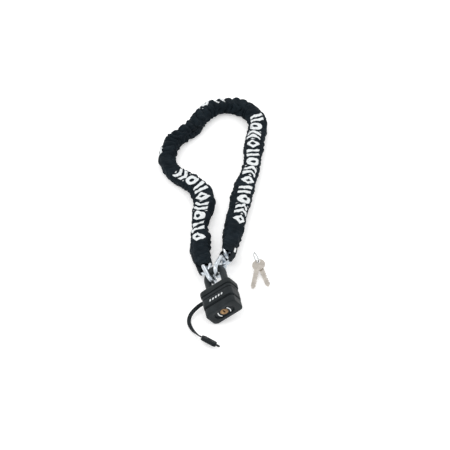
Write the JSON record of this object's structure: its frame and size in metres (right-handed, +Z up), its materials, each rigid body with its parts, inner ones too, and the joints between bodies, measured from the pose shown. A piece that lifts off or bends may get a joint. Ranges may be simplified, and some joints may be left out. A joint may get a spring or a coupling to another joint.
{
  "type": "chain lock",
  "caption": "Padlock with a moulded cover closing a fabric-sleeved steel chain, with a keyway cap on a strap and a pair of keys on a split ring.",
  "frame": {"origin": "centre of the laid-out lock's footprint, on the surface that it lies on", "axes": "+Y runs from the padlock along the chain loop, +Z is up, +X is to the right of the loop seen with the padlock nearest"},
  "size_m": [0.1855, 0.5514, 0.0512],
  "materials": {
    "cover_plastic": "charcoal moulded cover, satin",
    "plate_steel": "stamped steel plate",
    "shackle_steel": "hardened steel, plated",
    "guard_coating": "black vinyl coating",
    "brass": "machined brass",
    "spring_steel": "spring wire",
    "nickel_ring": "nickel plated",
    "strap_rubber": "moulded soft plastic",
    "sleeve_nylon": "woven black nylon with a white print",
    "zinc_steel": "bright zinc plated",
    "key_nickel": "nickel plated brass"
  },
  "bodies": {
    "padlock": {"cover_shell": "cover_plastic", "cover_rim": "cover_plastic", "top_plates": "plate_steel", "core_plates": "plate_steel", "bottom_plates": "plate_steel", "body_rivets": "plate_steel", "shackle_keeper": "plate_steel", "lever_springs": "spring_steel", "cylinder_housing": "brass", "driver_pins": "spring_steel", "pin_springs": "spring_steel", "face_ring": "nickel_ring"},
    "plug": {"plug": "brass", "plug_cam": "plate_steel", "key_pins": "brass"},
    "lever_left": {"lever_left": "brass"},
    "lever_right": {"lever_right": "brass"},
    "shackle": {"shackle": "shackle_steel", "shackle_guard": "guard_coating"},
    "chain": {"sleeve": "sleeve_nylon", "sleeve_tabs": "sleeve_nylon", "end_link_right": "zinc_steel", "end_link_left": "zinc_steel", "chain_link_01": "zinc_steel", "chain_link_02": "zinc_steel", "chain_link_03": "zinc_steel", "chain_link_04": "zinc_steel", "chain_link_05": "zinc_steel", "chain_link_06": "zinc_steel", "chain_link_07": "zinc_steel", "chain_link_08": "zinc_steel", "chain_link_09": "zinc_steel", "chain_link_10": "zinc_steel", "chain_link_11": "zinc_steel", "chain_link_12": "zinc_steel", "chain_link_13": "zinc_steel", "chain_link_14": "zinc_steel", "chain_link_15": "zinc_steel", "chain_link_16": "zinc_steel", "chain_link_17": "zinc_steel", "chain_link_18": "zinc_steel", "chain_link_19": "zinc_steel", "chain_link_20": "zinc_steel", "chain_link_21": "zinc_steel", "chain_link_22": "zinc_steel", "chain_link_23": "zinc_steel", "chain_link_24": "zinc_steel", "chain_link_25": "zinc_steel", "chain_link_26": "zinc_steel", "chain_link_27": "zinc_steel", "chain_link_28": "zinc_steel", "chain_link_29": "zinc_steel", "chain_link_30": "zinc_steel", "chain_link_31": "zinc_steel", "chain_link_32": "zinc_steel"},
    "cap": {"cap_strap": "strap_rubber", "keyway_cap": "strap_rubber"},
    "key_ring": {"key_ring": "key_nickel"},
    "key_1": {"key_1": "key_nickel"},
    "key_2": {"key_2": "key_nickel"}
  },
  "joints": [
    {"name": "plug_turn", "type": "hinge", "parent": "padlock", "child": "plug", "pos_m": [0.0192, -0.2215, 0.0256], "axis": [-0.1977, 0.9803, 0], "range_deg": [-90, 0]},
    {"name": "lever_left_slide", "type": "slide", "parent": "padlock", "child": "lever_left", "axis": [-0.803, -0.1619, -0.5736], "range_m": [0, 0.0029], "deforming": ["lever_springs"]},
    {"name": "lever_right_slide", "type": "slide", "parent": "padlock", "child": "lever_right", "axis": [0.803, 0.1619, 0.5736], "range_m": [0, 0.0029]},
    {"name": "shackle_lift", "type": "slide", "parent": "padlock", "child": "shackle", "axis": [-0.1977, 0.9803, 0], "range_m": [0, 0.0175]},
    {"name": "chain_swing", "type": "hinge", "parent": "shackle", "child": "chain", "pos_m": [0.00399, -0.14399, 0.02589], "axis": [0.8108, 0.119, 0.573], "range_deg": [0, 20]},
    {"name": "strap_swing", "type": "hinge", "parent": "padlock", "child": "cap", "pos_m": [-0.01223, -0.19764, 0.01466], "axis": [0, 0, 1], "range_deg": [-20, 15]},
    {"name": "key_set_slide", "type": "slide", "parent": "padlock", "child": "key_ring", "axis": [1, 0, 0], "range_m": [0, 0.03]},
    {"name": "key_1_swing", "type": "hinge", "parent": "key_ring", "child": "key_1", "pos_m": [0.0725, -0.11, 0.0097], "axis": [0, -0.1564, 0.9877], "range_deg": [-20, 10]},
    {"name": "key_2_swing", "type": "hinge", "parent": "key_ring", "child": "key_2", "pos_m": [0.0725, -0.11, 0.0097], "axis": [0, -0.1564, 0.9877], "range_deg": [-10, 20]}
  ],
  "couplings": [
    {"joint": "lever_left_slide", "follows": "plug_turn", "m_per_rad": -0.0018},
    {"joint": "lever_right_slide", "follows": "plug_turn", "m_per_rad": -0.0018}
  ]
}
